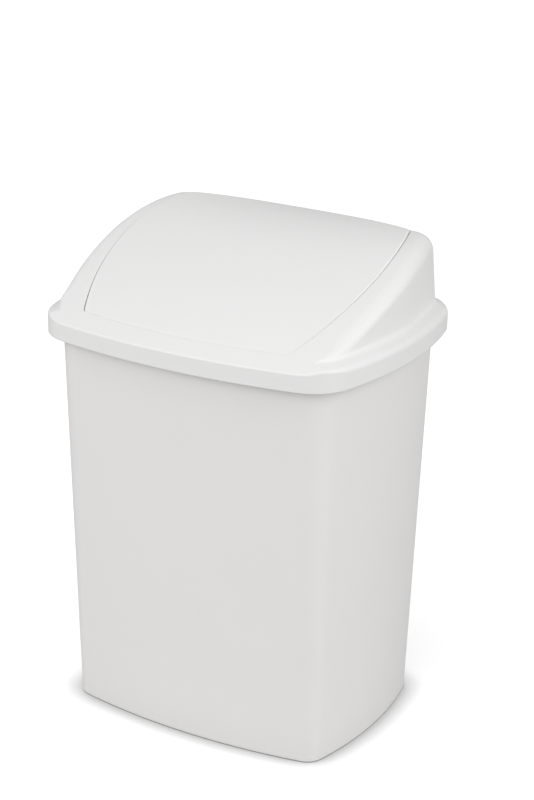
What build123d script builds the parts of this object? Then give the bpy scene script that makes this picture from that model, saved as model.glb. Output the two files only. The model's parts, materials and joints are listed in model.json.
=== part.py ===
from build123d import *
from dataclasses import dataclass, replace
from math import asin, atan2, cos, degrees, hypot, radians, sin, sqrt, tan
import os

# Swing-lid bin of about 25 litres: a tapered body, a domed hood that lifts off, and a flap that swings.
# Millimetres. Z is up, the front faces -Y, and the origin is the middle of the footprint on the floor.

# Bin body
BODY_HEIGHT = 390.0
BODY_WALL = 2.0
BASE_THICKNESS = 2.5
BASE_ROUNDING = 2.0
FLOOR_ROUNDING = 6.0
FOOT_RECESS = 4.0
FOOT_LAND = 6.0
FOOT_WIDTH = 290.2
FOOT_DEPTH = 218.6
FOOT_BOW = 606.6
FOOT_SIDE_BOW = 356.8
FOOT_CORNER = 17.8
MOUTH_WIDTH = 313.6
MOUTH_DEPTH = 252.4
MOUTH_BOW = 623.0
MOUTH_SIDE_BOW = 368.0
MOUTH_CORNER = 34.1

# Rolled rim of the bin body, hidden inside the skirt of the hood
RIM_OVERHANG = 10.2
RIM_CORNER = 40.4
RIM_THICKNESS = 2.2
RIM_LIP_DEPTH = 11.0
RIM_ROUNDING = 1.5
RIM_RIB_THICKNESS = 1.6
RIM_RIB_SPACING = 42.0

# Hood
HOOD_WALL = 2.2
SKIRT_CLEARANCE = 0.8
SKIRT_BELOW_RIM = 12.9
SHOULDER_ABOVE_RIM = 7.2
SHOULDER_SLOPE = 27.0
SHOULDER_ROUNDING = 8.5
CHEEK_INSET = 12.4
CHEEK_DRAFT = 4.6
CHEEK_ROOT_ROUNDING = 3.0
DOME_ABOVE_RIM = 62.0
DOME_LEAN = 32.0
DOME_BEND_ROUNDING = 20.0
RIDGE_ROUNDING = 3.0
SKIRT_EDGE_ROUNDING = 0.8
SEAT_CLEARANCE = 0.2
SEAT_RIB_THICKNESS = 1.8
SEAT_RIB_SPACING = 84.0

# Arch of the hood and of the flap on the middle plane: a crest arc, then a longer arc down to the front edge
CREST_ABOVE_RIM = 80.0
CREST_Y = 72.0
CREST_RADIUS = 238.0
CREST_TURN = 16.5
FRONT_ABOVE_RIM = 4.2

# Flap
FLAP_HALF_WIDTH = 134.4
FLAP_FRONT = 122.3
FLAP_BACK = 102.5
FLAP_FRONT_BOW = 521.0
FLAP_BACK_BOW = 460.0
FLAP_SIDE_BOW = 255.5
FLAP_CORNER = 5.0
FLAP_THICKNESS = 2.0
FLAP_GAP = 1.2
FLAP_REST_TILT = 1.2
FLAP_EDGE_ROUNDING = 0.7
FLANGE_DEPTH = 8.0
FLANGE_THICKNESS = 1.6
FLANGE_INSET = 0.6
FLANGE_BACK_CLEARANCE = 2.5
FLAP_RIB_SPACING = 66.0

# Opening of the hood
COLLAR_DEPTH = 15.0
COLLAR_ABOVE_RIM = 1.5
SHELF_DROP = 3.0
SHELF_WIDTH = 20.0
NUB_RADIUS = 4.0
NUB_SPACING = 150.0
NUB_CLEARANCE = 0.15

# Hinge of the flap
PIVOT_Y = -37.0
PIVOT_DROP = 6.5
PIN_RADIUS = 2.5
PIN_CLEARANCE = 0.1
PIN_END_CLEARANCE = 0.6
EAR_RADIUS = 5.0
EAR_THICKNESS = 4.0
LUG_RADIUS = 5.2
LUG_THICKNESS = 4.6
SWING = 55.0
STOP_REACH = 13.0
STOP_RADIUS = 2.0
STOP_CLEARANCE = 0.3


@dataclass(frozen=True)
class Plan:
    """A rectangle with bowed sides and rounded corners, given by its reach each way from the middle."""

    half_width: float
    front: float
    back: float
    front_bow: float
    back_bow: float
    side_bow: float
    corner: float

    def grown(self, by):
        """The same outline, moved outwards everywhere by one distance."""
        return Plan(*(size + by for size in vars(self).values()))

    def side_x(self, y):
        """How far out the right side is, that far back from the middle."""
        return self.half_width - self.side_bow + sqrt(self.side_bow**2 - y**2)

    def corner_points(self, reach, bow):
        """Where a rounded corner leaves the bowed end, turns, and joins the side, for positive x and y."""
        end_centre = Vector(0, reach - bow)
        side_centre = Vector(self.half_width - self.side_bow, 0)
        end_arm = bow - self.corner
        side_arm = self.side_bow - self.corner
        between = side_centre - end_centre
        along = (end_arm**2 - side_arm**2 + between.length**2) / (2 * between.length)
        turn = Vector(between.Y, -between.X).normalized()
        centre = end_centre + between.normalized() * along + turn * sqrt(end_arm**2 - along**2)
        leave = end_centre + (centre - end_centre).normalized() * bow
        join = side_centre + (centre - side_centre).normalized() * self.side_bow
        middle = centre + (leave + join - centre * 2).normalized() * self.corner
        return leave, middle, join

    def face(self, z):
        """The area inside the outline at one height, bounded by eight arcs."""
        back = self.corner_points(self.back, self.back_bow)
        front = [Vector(p.X, -p.Y) for p in self.corner_points(self.front, self.front_bow)]
        right = [Vector(0, -self.front), *front, Vector(self.half_width, 0), *reversed(back)]
        left = [Vector(-p.X, p.Y) for p in reversed(right[1:])]
        points = [*right, Vector(0, self.back), *left]
        points = points[-1:] + points[:-1]
        starts = points[0::2]
        middles = points[1::2]
        ends = starts[1:] + starts[:1]
        arcs = [ThreePointArc(*three) for three in zip(starts, middles, ends)]
        return Pos(0, 0, z) * Face(Wire(arcs))

    def prism(self, low, high):
        return extrude(self.face(low), high - low)


def tapered(low_plan, low, high_plan, high):
    return Solid.make_loft([low_plan.face(low).outer_wire(), high_plan.face(high).outer_wire()], ruled=True)


def mixed(low_plan, high_plan, share):
    """The outline that a straight wall has part of the way from the low plan to the high one."""
    pairs = zip(vars(low_plan).values(), vars(high_plan).values())
    return Plan(*(low + share * (high - low) for low, high in pairs))


FOOT = Plan(
    FOOT_WIDTH / 2, FOOT_DEPTH / 2, FOOT_DEPTH / 2, FOOT_BOW, FOOT_BOW, FOOT_SIDE_BOW, FOOT_CORNER
)
MOUTH = Plan(
    MOUTH_WIDTH / 2, MOUTH_DEPTH / 2, MOUTH_DEPTH / 2, MOUTH_BOW, MOUTH_BOW, MOUTH_SIDE_BOW, MOUTH_CORNER
)
RIM = replace(MOUTH.grown(RIM_OVERHANG), corner=RIM_CORNER)
SKIRT = RIM.grown(SKIRT_CLEARANCE + HOOD_WALL)
FLAP = Plan(
    FLAP_HALF_WIDTH, FLAP_FRONT, FLAP_BACK, FLAP_FRONT_BOW, FLAP_BACK_BOW, FLAP_SIDE_BOW, FLAP_CORNER
)
OPENING = FLAP.grown(FLAP_GAP)

FLOOR_Z = FOOT_RECESS + BASE_THICKNESS
SKIRT_Z = BODY_HEIGHT - SKIRT_BELOW_RIM
SHOULDER_Z = BODY_HEIGHT + SHOULDER_ABOVE_RIM
CHEEK_ROOT_Z = SHOULDER_Z + CHEEK_INSET * tan(radians(SHOULDER_SLOPE))
DOME_Z = BODY_HEIGHT + DOME_ABOVE_RIM
CREST_Z = BODY_HEIGHT + CREST_ABOVE_RIM
ABOVE_ALL = CREST_Z + HOOD_WALL
BOW_AXIS = Axis((0, SKIRT.front_bow - SKIRT.front, 0), (0, 0, 1))
JOIN_WAY = Vector(0, -sin(radians(CREST_TURN)), cos(radians(CREST_TURN)))
CREST_CENTRE = Vector(0, CREST_Y, CREST_Z - CREST_RADIUS)
SLOPE_FALL = Vector(0, -SKIRT.front, BODY_HEIGHT + FRONT_ABOVE_RIM) - CREST_CENTRE - JOIN_WAY * CREST_RADIUS
SLOPE_RADIUS = -SLOPE_FALL.length**2 / (2 * SLOPE_FALL.dot(JOIN_WAY))
SLOPE_CENTRE = CREST_CENTRE - JOIN_WAY * (SLOPE_RADIUS - CREST_RADIUS)
SHELF_FRONT = OPENING.back - SHELF_WIDTH


def edges_at(solid, z, near=0.01):
    """The edges that lie in one level plane."""
    boxes = [(edge, edge.bounding_box()) for edge in solid.edges()]
    return [edge for edge, box in boxes if box.min.Z > z - near and box.max.Z < z + near]


def bin_body():
    body = fillet(edges_at(tapered(FOOT, 0, MOUTH, BODY_HEIGHT), 0), BASE_ROUNDING)
    floor_plan = mixed(FOOT, MOUTH, FLOOR_Z / BODY_HEIGHT).grown(-BODY_WALL)
    cavity = tapered(floor_plan, FLOOR_Z, MOUTH.grown(-BODY_WALL), BODY_HEIGHT)
    cavity = fillet(edges_at(cavity, FLOOR_Z), FLOOR_ROUNDING)
    recess = FOOT.grown(-FOOT_LAND).prism(0, FOOT_RECESS)
    lip_z = BODY_HEIGHT - RIM_LIP_DEPTH
    rim = fillet(edges_at(RIM.prism(lip_z, BODY_HEIGHT), BODY_HEIGHT), RIM_ROUNDING)
    rim -= RIM.grown(-RIM_THICKNESS).prism(lip_z, BODY_HEIGHT - RIM_THICKNESS)
    rim -= MOUTH.grown(-BODY_WALL / 2).prism(lip_z, BODY_HEIGHT)
    return body + rim + rim_ribs(lip_z) - cavity - recess


def spokes(plan, thickness, spacing, low, high):
    """Thin upright plates across an outline, square to its sides and evenly spaced."""
    plates = []
    for reach, length, turn in ((plan.half_width, 2 * plan.back, 0), (plan.back, 2 * plan.half_width, 90)):
        steps = int((reach - plan.corner) / spacing)
        for step in range(-steps, steps + 1):
            plate = Pos(step * spacing, 0, (low + high) / 2) * Box(thickness, length, high - low)
            plates.append(Rot(0, 0, turn) * plate)
    return Part() + plates


def rim_ribs(lip_z):
    """Ribs between the wall and the lip that hangs from the rim."""
    ring = RIM.grown(-RIM_THICKNESS / 2).prism(lip_z, BODY_HEIGHT - RIM_THICKNESS / 2)
    ring -= MOUTH.grown(-BODY_WALL / 2).prism(lip_z, BODY_HEIGHT)
    return ring & spokes(RIM, RIM_RIB_THICKNESS, RIM_RIB_SPACING, lip_z, BODY_HEIGHT)


def arch_point(y, lowered=0):
    """The point of the arch on the middle plane, with the arch lowered square to itself by one distance."""
    on_slope = y < (CREST_CENTRE + JOIN_WAY * (CREST_RADIUS - lowered)).Y
    centre = SLOPE_CENTRE if on_slope else CREST_CENTRE
    radius = (SLOPE_RADIUS if on_slope else CREST_RADIUS) - lowered
    return Vector(0, y, centre.Z + sqrt(radius**2 - (y - centre.Y) ** 2))


def arch_start(x, y):
    """Where on the middle line the bow that passes over a place starts, at the same height."""
    bow_y = BOW_AXIS.position.Y
    return bow_y - hypot(x, bow_y - y)


def arch_line(lowered):
    """The slope arc and the crest arc of the arch on the middle plane, from front to back."""
    front_y = -SKIRT.front - HOOD_WALL
    back_y = SKIRT.back + HOOD_WALL
    join = CREST_CENTRE + JOIN_WAY * (CREST_RADIUS - lowered)
    slope = ThreePointArc(arch_point(front_y, lowered), arch_point((front_y + join.Y) / 2, lowered), join)
    crest = ThreePointArc(join, arch_point((join.Y + back_y) / 2, lowered), arch_point(back_y, lowered))
    return slope, crest


def swept_round(edges):
    """The solid that a closed outline on the middle plane leaves when it turns about the axis of the bow."""
    arc = 2 * degrees(atan2(SKIRT.half_width, BOW_AXIS.position.Y - SKIRT.back))
    return revolve(Face(Wire(edges)).rotate(BOW_AXIS, -arc / 2), BOW_AXIS, arc)


def below_arch(lowered, floor):
    """All that lies under the arch, lowered by one distance, and over a level floor."""
    slope, crest = arch_line(lowered)
    front = slope @ 0
    back = crest @ 1
    feet = Polyline(back, (0, back.Y, floor), (0, front.Y, floor), front)
    return swept_round([slope, crest, *feet.edges()])


def arch_layer(high, low):
    """A curved sheet between two depths under the arch."""
    top = arch_line(high)
    under = arch_line(low)
    ends = [Line(top[1] @ 1, under[1] @ 1), Line(under[0] @ 0, top[0] @ 0)]
    return swept_round([*top, ends[0], *under, ends[1]])


def arch_edges(solid, lowered, near=0.01):
    """The edges around the face that a solid has along the arch, lowered by one distance."""
    edges = []
    for face in solid.faces():
        middle = face.center()
        high = arch_point(arch_start(middle.X, middle.Y), lowered).Z
        if face.geom_type in (GeomType.TORUS, GeomType.REVOLUTION) and abs(middle.Z - high) < near:
            edges += [edge for edge in face.edges() if edge.geom_type != GeomType.CIRCLE]
    return edges


def hood_form(lowered):
    """The hood as a solid block, every face moved inwards by one distance."""
    slope = radians(SHOULDER_SLOPE)
    draft = radians(CHEEK_DRAFT)
    lean = radians(DOME_LEAN)
    sunk = lowered / cos(slope)
    shoulder_z = SHOULDER_Z + lowered * tan(slope) - sunk
    cheek_start = CHEEK_INSET + lowered / cos(draft) + (SHOULDER_Z - sunk - CHEEK_ROOT_Z) * tan(draft)
    root_inset = cheek_start / (1 - tan(slope) * tan(draft))
    root_z = SHOULDER_Z - sunk + root_inset * tan(slope)
    dome_z = DOME_Z + (lowered / cos(draft) - lowered / cos(lean)) / (tan(lean) - tan(draft))
    skirt = SKIRT.grown(-lowered)
    root = SKIRT.grown(-root_inset)
    dome = root.grown((root_z - dome_z) * tan(draft))
    top = dome.grown((dome_z - ABOVE_ALL) * tan(lean))
    form = skirt.prism(SKIRT_Z, shoulder_z) + tapered(skirt, shoulder_z, root, root_z)
    form += tapered(root, root_z, dome, dome_z) + tapered(dome, dome_z, top, ABOVE_ALL)
    form = fillet(edges_at(form, shoulder_z), SHOULDER_ROUNDING - lowered)
    form = fillet(edges_at(form, root_z), CHEEK_ROOT_ROUNDING + lowered)
    form = fillet(edges_at(form, dome_z), DOME_BEND_ROUNDING - lowered)
    form &= below_arch(lowered, SKIRT_Z)
    return fillet(arch_edges(form, lowered), RIDGE_ROUNDING - lowered)


# The pivot under the sides of the arch, and the peg that the side of the open flap comes to rest on
PIVOT_START = arch_start(OPENING.side_x(PIVOT_Y), PIVOT_Y)
PIVOT_Z = arch_point(PIVOT_START).Z - PIVOT_DROP
PIVOT_AXIS = Axis((0, PIVOT_Y, PIVOT_Z), (1, 0, 0))
PIVOT_TURN = asin((SLOPE_CENTRE.Y - PIVOT_START) / SLOPE_RADIUS)
OPEN_TURN = PIVOT_TURN + radians(FLAP_REST_TILT + SWING)
STOP_ASIDE = FLANGE_DEPTH - PIVOT_DROP * cos(PIVOT_TURN) + STOP_RADIUS + STOP_CLEARANCE
STOP = Vector(0, PIVOT_Y, PIVOT_Z)
STOP += Vector(0, -cos(OPEN_TURN), -sin(OPEN_TURN)) * STOP_REACH
STOP += Vector(0, sin(OPEN_TURN), -cos(OPEN_TURN)) * STOP_ASIDE


def side_bar(radius, inner_x, outer_x, y, z):
    """A round bar along X, right of the middle plane."""
    bar = Rot(0, 90, 0) * Cylinder(radius, outer_x - inner_x)
    return Pos((inner_x + outer_x) / 2, y, z) * bar


def both_sides(piece):
    """The piece and its mirror image on the left."""
    return piece + mirror(piece, Plane.YZ)


def tilted(piece):
    """The piece turned from flush with the arch to how the flap rests."""
    return piece.rotate(PIVOT_AXIS, FLAP_REST_TILT)


def full_height(plan):
    """The outline drawn up through the whole hood."""
    return plan.prism(SKIRT_Z, ABOVE_ALL)


def lug():
    """The bearing on the right wall of the opening, and the peg under it that stops the open flap."""
    inner_x = OPENING.side_x(PIVOT_Y) - HOOD_WALL
    outer_x = OPENING.side_x(PIVOT_Y) + LUG_THICKNESS
    plate = side_bar(LUG_RADIUS, inner_x, outer_x, PIVOT_Y, PIVOT_Z)
    plate += side_bar(LUG_RADIUS, inner_x, outer_x, STOP.Y, STOP.Z)
    between = Box(outer_x - inner_x, 2 * LUG_RADIUS, PIVOT_Z - STOP.Z)
    plate += Pos((inner_x + outer_x) / 2, (PIVOT_Y + STOP.Y) / 2, (PIVOT_Z + STOP.Z) / 2) * between
    plate -= full_height(OPENING)
    peg_x = FLAP.side_x(PIVOT_Y - STOP_REACH) - FLANGE_INSET - FLANGE_THICKNESS
    return plate + side_bar(STOP_RADIUS, peg_x, outer_x, STOP.Y, STOP.Z)


def shelf(plan):
    """The sunk ledge behind the opening, with two nubs that the back of the flap rests on."""
    behind = Pos(0, SHELF_FRONT + SKIRT.back, 0) * Box(2 * SKIRT.half_width, 2 * SKIRT.back, 2 * ABOVE_ALL)
    ledge = arch_layer(SHELF_DROP, SHELF_DROP + HOOD_WALL) & full_height(plan) & behind
    nub_y = (SHELF_FRONT + FLAP.back) / 2
    under_flap = tilted(below_arch(FLAP_THICKNESS + NUB_CLEARANCE, SKIRT_Z))
    low = arch_point(nub_y).Z - SHELF_DROP - HOOD_WALL
    for x in (-NUB_SPACING / 2, NUB_SPACING / 2):
        nub = Pos(x, nub_y, (low + ABOVE_ALL) / 2) * Cylinder(NUB_RADIUS, ABOVE_ALL - low)
        ledge += nub & under_flap
    return ledge


def seat_ribs(outer):
    """Upright ribs under the shoulder that stand on the rim of the body."""
    low = BODY_HEIGHT + SEAT_CLEARANCE
    ring = SKIRT.grown(-HOOD_WALL / 2).prism(low, ABOVE_ALL)
    ring -= SKIRT.grown(-CHEEK_INSET).prism(low, ABOVE_ALL)
    ring &= spokes(SKIRT, SEAT_RIB_THICKNESS, SEAT_RIB_SPACING, low, SHOULDER_Z + CHEEK_INSET)
    return ring & outer


def lid_hood():
    outer = fillet(edges_at(hood_form(0), SKIRT_Z), SKIRT_EDGE_ROUNDING)
    hood = outer - hood_form(HOOD_WALL) - full_height(OPENING)
    collar_plan = OPENING.grown(HOOD_WALL)
    collar = collar_plan.prism(BODY_HEIGHT + COLLAR_ABOVE_RIM, ABOVE_ALL) & arch_layer(0, COLLAR_DEPTH)
    hood += (collar - full_height(OPENING)) & outer
    hood += shelf(collar_plan) & outer
    hood += seat_ribs(outer)
    hood += both_sides(lug())
    hole = side_bar(PIN_RADIUS + PIN_CLEARANCE, 0, OPENING.side_x(PIVOT_Y) + LUG_THICKNESS, PIVOT_Y, PIVOT_Z)
    return hood - both_sides(hole)


def swing_flap():
    panel = full_height(FLAP) & arch_layer(0, FLAP_THICKNESS)
    panel = fillet(arch_edges(panel, 0), FLAP_EDGE_ROUNDING)
    flange_plan = replace(FLAP.grown(-FLANGE_INSET), back=SHELF_FRONT - FLANGE_BACK_CLEARANCE)
    hollow = full_height(flange_plan.grown(-FLANGE_THICKNESS))
    stiffening = arch_layer(FLAP_THICKNESS / 2, FLANGE_DEPTH)
    flap = panel + ((full_height(flange_plan) - hollow) & stiffening)
    flap += hollow & stiffening & flap_ribs()
    inner_x = FLAP.side_x(PIVOT_Y) - FLANGE_INSET - EAR_THICKNESS
    ear = side_bar(EAR_RADIUS, inner_x, FLAP.side_x(PIVOT_Y), PIVOT_Y, PIVOT_Z)
    neck = Box(FLAP.half_width - inner_x, 2 * EAR_RADIUS, PIVOT_DROP * 2)
    ear += Pos((FLAP.half_width + inner_x) / 2, PIVOT_Y, PIVOT_Z + PIVOT_DROP) * neck
    ear = ear & full_height(flange_plan) & below_arch(FLAP_THICKNESS / 2, SKIRT_Z)
    pin_end = OPENING.side_x(PIVOT_Y) + LUG_THICKNESS - PIN_END_CLEARANCE
    pin = side_bar(PIN_RADIUS, inner_x, pin_end, PIVOT_Y, PIVOT_Z)
    return tilted(flap + both_sides(ear) + both_sides(pin))


def flap_ribs():
    """Upright plates from front to back, evenly spaced across the flap."""
    steps = int(FLAP.half_width / FLAP_RIB_SPACING)
    plate = Box(FLANGE_THICKNESS, 2 * SKIRT.back, 2 * ABOVE_ALL)
    return Part() + [Pos(step * FLAP_RIB_SPACING, 0, 0) * plate for step in range(-steps, steps + 1)]


os.makedirs("parts", exist_ok=True)
for name, make in (("bin_body", bin_body), ("lid_hood", lid_hood), ("swing_flap", swing_flap)):
    export_step(make(), f"parts/{name}.step")
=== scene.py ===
# %% [markdown]
# # A swing-lid bin in three mouldings
# A kitchen bin like this is three mouldings of white polypropylene: a tapered body, a hood over its rim, and
# a flap that swings in the hood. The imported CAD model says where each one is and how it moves. This lesson
# draws each moulding again as a closed skin with the soft roundings of a steel mould, adds its ribs and
# pins, and gives it a satin finish.

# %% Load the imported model
import json
from math import cos, hypot, pi, radians, sin, sqrt, tan
import bmesh
import bpy
import numpy as np
from mathutils import Matrix, Vector


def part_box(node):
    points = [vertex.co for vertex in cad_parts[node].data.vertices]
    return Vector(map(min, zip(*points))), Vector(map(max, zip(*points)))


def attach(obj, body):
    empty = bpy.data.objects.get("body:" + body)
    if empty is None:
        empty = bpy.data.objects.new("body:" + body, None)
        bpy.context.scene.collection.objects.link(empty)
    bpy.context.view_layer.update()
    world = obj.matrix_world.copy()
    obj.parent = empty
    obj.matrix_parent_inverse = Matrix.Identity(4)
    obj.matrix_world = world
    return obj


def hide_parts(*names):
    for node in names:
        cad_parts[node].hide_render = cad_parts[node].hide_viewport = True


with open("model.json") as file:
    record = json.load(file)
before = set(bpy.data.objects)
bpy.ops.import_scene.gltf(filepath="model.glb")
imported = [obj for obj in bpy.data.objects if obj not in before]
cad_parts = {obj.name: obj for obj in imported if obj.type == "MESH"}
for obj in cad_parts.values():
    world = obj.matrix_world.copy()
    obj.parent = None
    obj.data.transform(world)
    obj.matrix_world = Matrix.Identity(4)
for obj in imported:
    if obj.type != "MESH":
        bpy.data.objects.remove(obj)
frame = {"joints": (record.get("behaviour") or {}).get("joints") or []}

MM = 0.001
scene = bpy.context.scene
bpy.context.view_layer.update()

# %% [markdown]
# ## The camera
# The photograph was taken from the front right and a little above, about two metres away. Fitting the bin's
# edges to the picture gave the angles, the distance and the focal length, so that the render and the
# photograph can be laid over each other. The small roll is the tilt of the camera.

# %% Camera
AZIMUTH = radians(30.46)
ELEVATION = radians(20.59)
ROLL = radians(1.02)
DISTANCE = 1.96718
TARGET_ASIDE = 0.01787
TARGET_HEIGHT = 0.30583
FOCAL_PIXELS = 2077.71
LONG_SIDE_PIXELS = 800
SENSOR = 36.0

back = Vector((sin(AZIMUTH) * cos(ELEVATION), -cos(AZIMUTH) * cos(ELEVATION), sin(ELEVATION)))
right = Vector((cos(AZIMUTH), sin(AZIMUTH), 0))
up = back.cross(right)
turned_right = right * cos(ROLL) + up * sin(ROLL)
turned_up = up * cos(ROLL) - right * sin(ROLL)
camera_data = bpy.data.cameras.new("camera")
camera_data.sensor_width = SENSOR
camera_data.lens = FOCAL_PIXELS / LONG_SIDE_PIXELS * SENSOR
camera = bpy.data.objects.new("camera", camera_data)
camera.matrix_world = Matrix((turned_right, turned_up, back)).transposed().to_4x4()
camera.location = right * TARGET_ASIDE + Vector((0, 0, TARGET_HEIGHT)) + back * DISTANCE
scene.collection.objects.link(camera)
scene.camera = camera
print("lens", round(camera_data.lens, 1), "mm")

# %% [markdown]
# ## Expressions that build nodes
# Materials and Geometry Nodes are both networks of sockets. A network is easier to read as a sum than as a
# list of links, so a small class wraps a socket and adds a Math node for each operator used on it. Every
# other node comes from one method, which takes the node's type, its sockets and its settings.

# %% Signals and graphs
class Signal:
    """A socket that can stand in a sum."""

    def __init__(self, graph, socket):
        self.graph = graph
        self.socket = socket

    def __add__(self, other):
        return self.graph.math("ADD", self, other)

    def __sub__(self, other):
        return self.graph.math("SUBTRACT", self, other)

    def __rsub__(self, other):
        return self.graph.math("SUBTRACT", other, self)

    def __mul__(self, other):
        return self.graph.math("MULTIPLY", self, other)

    __radd__ = __add__
    __rmul__ = __mul__

    def beside(self, output):
        """Another output of the same node."""
        return Signal(self.graph, self.socket.node.outputs[output])


class Graph:
    """A node tree that grows as its expressions are written."""

    def __init__(self, tree):
        self.tree = tree

    def make(self, kind, sockets=None, settings=None, output=0):
        """A node of one type, with its settings first and then its sockets' values or links."""
        node = self.tree.nodes.new(kind)
        for name, value in (settings or {}).items():
            setattr(node, name, value)
        for key, value in (sockets or {}).items():
            if isinstance(value, Signal):
                self.tree.links.new(value.socket, node.inputs[key])
            else:
                node.inputs[key].default_value = value
        return Signal(self, node.outputs[output]) if node.outputs else None

    def math(self, operation, *values):
        """A Math node on numbers and signals."""
        return self.make("ShaderNodeMath", dict(enumerate(values)), {"operation": operation})

    def vector(self, x=0.0, y=0.0, z=0.0):
        """Three numbers or signals as a vector."""
        return self.make("ShaderNodeCombineXYZ", dict(enumerate((x, y, z))))

    def hand_out(self, geometry, material):
        """The end of a tree: real geometry in place of instances, with its material."""
        solid = self.make("GeometryNodeRealizeInstances", {"Geometry": geometry})
        finished = self.make("GeometryNodeSetMaterial", {"Geometry": solid, "Material": material})
        self.make("NodeGroupOutput", {"Geometry": finished})


def blank_graph(owner):
    """The emptied node tree of a material or a world."""
    owner.use_nodes = True
    owner.node_tree.nodes.clear()
    return Graph(owner.node_tree)


def new_tree(name, inputs):
    """A geometry tree with named inputs, its graph, and the signals of those inputs."""
    tree = bpy.data.node_groups.new(name, "GeometryNodeTree")
    tree.interface.new_socket("Geometry", in_out="INPUT", socket_type="NodeSocketGeometry")
    tree.interface.new_socket("Geometry", in_out="OUTPUT", socket_type="NodeSocketGeometry")
    for label, kind in inputs.items():
        tree.interface.new_socket(label, in_out="INPUT", socket_type="NodeSocket" + kind)
    graph = Graph(tree)
    start = graph.make("NodeGroupInput")
    return tree, graph, {label: start.beside(label) for label in ("Geometry", *inputs)}


def run_tree(piece, tree, values):
    """Replace a piece's mesh by what the tree makes of it, and leave no modifier behind."""
    modifier = piece.modifiers.new(tree.name, "NODES")
    modifier.node_group = tree
    for item in tree.interface.items_tree:
        if item.in_out == "INPUT" and item.name in values:
            modifier[item.identifier] = values[item.name]
    bpy.context.view_layer.update()
    seen = piece.evaluated_get(bpy.context.evaluated_depsgraph_get())
    mesh = bpy.data.meshes.new_from_object(seen)
    piece.modifiers.remove(modifier)
    piece.data = mesh


# %% [markdown]
# ## The plastic
# Moulded polypropylene has a soft satin skin: the steel is blasted, so the surface has a grain far finer
# than a millimetre, and the plastic shrinks a little unevenly, so broad reflections waver. Its warm white
# clouds very slightly. All of it comes from noise on Object coordinates, with the grain and the waves added
# up as the height for a Bump node.

# %% Satin polypropylene
CLOUDS = (14.0, 3.0)
GLOSS_PATCHES = (45.0, 4.0)
GLOSS_SPREAD = 0.1
WAVES = (22.0, 1.0)
WAVE_HEIGHT = 0.00006
BLASTED_GRAIN = (1700.0, 2.0)
REFRACTION = 1.49


def moulded_plastic(name, colour, shade, roughness, grain):
    """A finish with a clouded colour, uneven gloss, slow waves and a fine blasted grain."""
    material = bpy.data.materials.new(name)
    graph = blank_graph(material)
    place = graph.make("ShaderNodeTexCoord").beside("Object")

    def noise(scale, detail):
        """Noise in the plastic itself, so it stays put when the piece moves."""
        return graph.make("ShaderNodeTexNoise", {"Vector": place, "Scale": scale, "Detail": detail})

    clouds = noise(*CLOUDS)
    tone = graph.make("ShaderNodeMix", {0: clouds, 6: (*colour, 1), 7: (*shade, 1)}, {"data_type": "RGBA"}, 2)
    gloss = roughness + GLOSS_SPREAD * (noise(*GLOSS_PATCHES) - 0.5)
    height = noise(*WAVES) * WAVE_HEIGHT + noise(*BLASTED_GRAIN) * grain
    normal = graph.make("ShaderNodeBump", {"Strength": 1.0, "Distance": 1.0, "Height": height})
    surface = {"Base Color": tone, "Roughness": gloss, "Normal": normal, "IOR": REFRACTION}
    shader = graph.make("ShaderNodeBsdfPrincipled", surface)
    graph.make("ShaderNodeOutputMaterial", {"Surface": shader})
    return material


BODY_WHITE = ((0.87, 0.862, 0.856), (0.855, 0.845, 0.838))
LID_WHITE = ((0.875, 0.87, 0.867), (0.86, 0.854, 0.85))
body_plastic = moulded_plastic("body_plastic", *BODY_WHITE, roughness=0.46, grain=0.00001)
hood_plastic = moulded_plastic("hood_plastic", *LID_WHITE, roughness=0.44, grain=0.000008)
flap_plastic = moulded_plastic("flap_plastic", *LID_WHITE, roughness=0.5, grain=0.000014)
print("three finishes of white polypropylene")

# %% [markdown]
# ## Outlines
# Seen from above, every level of the bin is the same kind of shape: a rectangle whose four sides are long
# shallow arcs and whose corners are short ones. Moving such an outline inwards only shortens the radii, so
# a wall of even thickness is easy. Each outline gives the same number of points on the same arcs, so two
# of them can be joined point to point, as the taper of the body does.

# %% Outline
# Points on half of the front, the front corner, the side, the back corner and half of the back.
HALF_ROUND = (44, 44, 56, 36, 44)


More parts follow.
